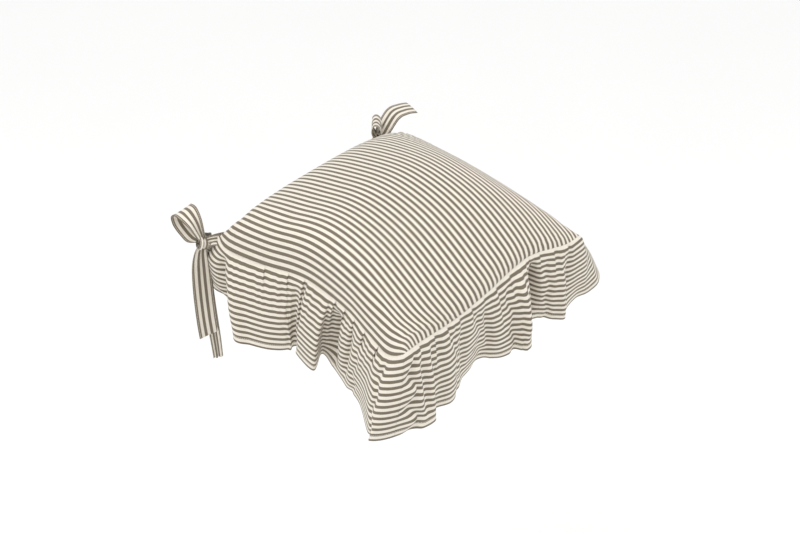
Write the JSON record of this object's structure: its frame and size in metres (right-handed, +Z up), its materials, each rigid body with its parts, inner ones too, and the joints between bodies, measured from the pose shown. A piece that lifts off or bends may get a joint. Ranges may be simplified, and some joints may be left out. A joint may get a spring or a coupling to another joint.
{
  "type": "chair seat pad",
  "caption": "Square over-stuffed seat pad in striped ticking with a knife-edge seam, a gathered ruffle on the front and sides, bow-tied straps at the rear corners and a zip in the rear seam.",
  "frame": {"origin": "centre of the flat face that rests on the chair seat, at the height of that face", "axes": "+Z up out of the seat, -Y towards the front of the chair, +Y towards the ties and the zip at the rear, +X to the sitter's left when facing forward, which is the right side seen from the front"},
  "size_m": [0.4941, 0.4986, 0.2994],
  "materials": {
    "ticking": "matte woven cotton, taupe stripes on cream",
    "casing": "plain white non-woven",
    "filling": "loose polyester fibre",
    "zip_tape": "woven polyester tape",
    "zip_coil": "nylon coil, satin",
    "zip_metal": "satin nickel"
  },
  "bodies": {
    "pad": {"top_panel": "ticking", "base_panel": "ticking", "ruffle_left": "ticking", "ruffle_front": "ticking", "ruffle_right": "ticking", "tie_left_front_strap": "ticking", "tie_left_back_strap": "ticking", "tie_right_front_strap": "ticking", "tie_right_back_strap": "ticking", "inner_casing": "casing", "filling": "filling", "zip_tape_upper": "zip_tape", "zip_tape_lower": "zip_tape", "zip_coil_upper": "zip_coil", "zip_coil_lower": "zip_coil", "zip_stop_upper": "zip_metal", "zip_stop_lower": "zip_metal", "zip_end_staple": "zip_metal"},
    "slider": {"zip_slider": "zip_metal"},
    "pull": {"zip_pull": "zip_metal"}
  },
  "joints": [
    {"name": "zip_slide", "type": "slide", "parent": "pad", "child": "slider", "axis": [-1, 0, 0], "range_m": [0, 0.233]},
    {"name": "pull_swing", "type": "hinge", "parent": "slider", "child": "pull", "pos_m": [0.1165, 0.1655, 0.026], "axis": [0, 0, -1], "range_deg": [0, 150]}
  ]
}
